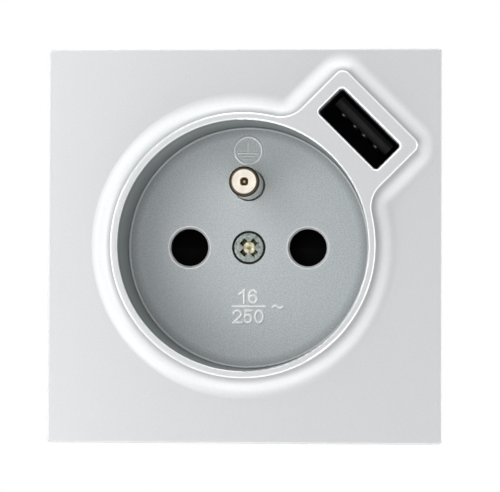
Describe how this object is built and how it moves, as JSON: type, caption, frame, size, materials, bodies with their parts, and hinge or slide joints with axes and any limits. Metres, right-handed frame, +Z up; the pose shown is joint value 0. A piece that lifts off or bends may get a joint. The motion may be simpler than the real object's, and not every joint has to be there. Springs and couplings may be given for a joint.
{
  "type": "usb wall socket",
  "caption": "Square flush wall socket with a round plug well, earth pin, shuttered pin entries and a slanted charging port in an ear of the collar.",
  "frame": {"origin": "on the axis of the plug well, in the plane of the wall, which is the back face of the strap", "axes": "+X right, +Y into the wall, +Z up, seen from the front"},
  "size_m": [0.0616, 0.0501, 0.0616],
  "materials": {
    "cover_silver": "satin silver metallic paint",
    "zinc_steel": "zinc plated",
    "brass": "turned",
    "nickel": "nickel plated",
    "strap_steel": "zinc plated sheet",
    "base_plastic": "moulded",
    "shutter_black": "moulded",
    "spring_steel": "drawn wire",
    "contact_bronze": "stamped",
    "port_black_metal": "black plated",
    "port_black_plastic": "moulded",
    "port_gold": "gold plated",
    "board_green": "solder mask",
    "retainer_plastic": "moulded",
    "housing_plastic": "moulded",
    "ferrite": "sintered",
    "winding_tape": "polyester tape",
    "capacitor_sleeve": "shrink sleeve",
    "suppressor_box": "moulded",
    "chip_black": "moulded",
    "fuse_body": "moulded"
  },
  "bodies": {
    "socket": {"front_cover": "cover_silver", "cover_screw": "zinc_steel", "screw_insert": "brass", "earth_pin": "nickel", "mounting_strap": "strap_steel", "strap_screws": "zinc_steel", "socket_base": "base_plastic", "shutter_spring": "spring_steel", "line_contact": "contact_bronze", "neutral_contact": "contact_bronze", "earth_bar": "contact_bronze", "line_terminal": "brass", "neutral_terminal": "brass", "earth_terminal": "brass", "terminal_screws": "zinc_steel", "usb_shell": "port_black_metal", "usb_insulator": "port_black_plastic", "usb_contacts": "port_gold", "usb_board": "board_green", "contact_retainer": "retainer_plastic", "rear_housing": "housing_plastic", "housing_screws": "zinc_steel", "charger_board": "board_green", "transformer_core": "ferrite", "transformer_winding": "winding_tape", "input_capacitor": "capacitor_sleeve", "output_capacitor": "capacitor_sleeve", "suppression_capacitor": "suppressor_box", "rectifier": "chip_black", "controller": "chip_black", "fuse": "fuse_body"},
    "shutter": {"shutter": "shutter_black"}
  },
  "joints": [
    {"name": "shutter_slide", "type": "slide", "parent": "socket", "child": "shutter", "axis": [0, 0, -1], "range_m": [0, 0.0073], "stiffness_N_per_m": 150, "springref_m": -0.003, "deforming": ["shutter_spring"]}
  ]
}
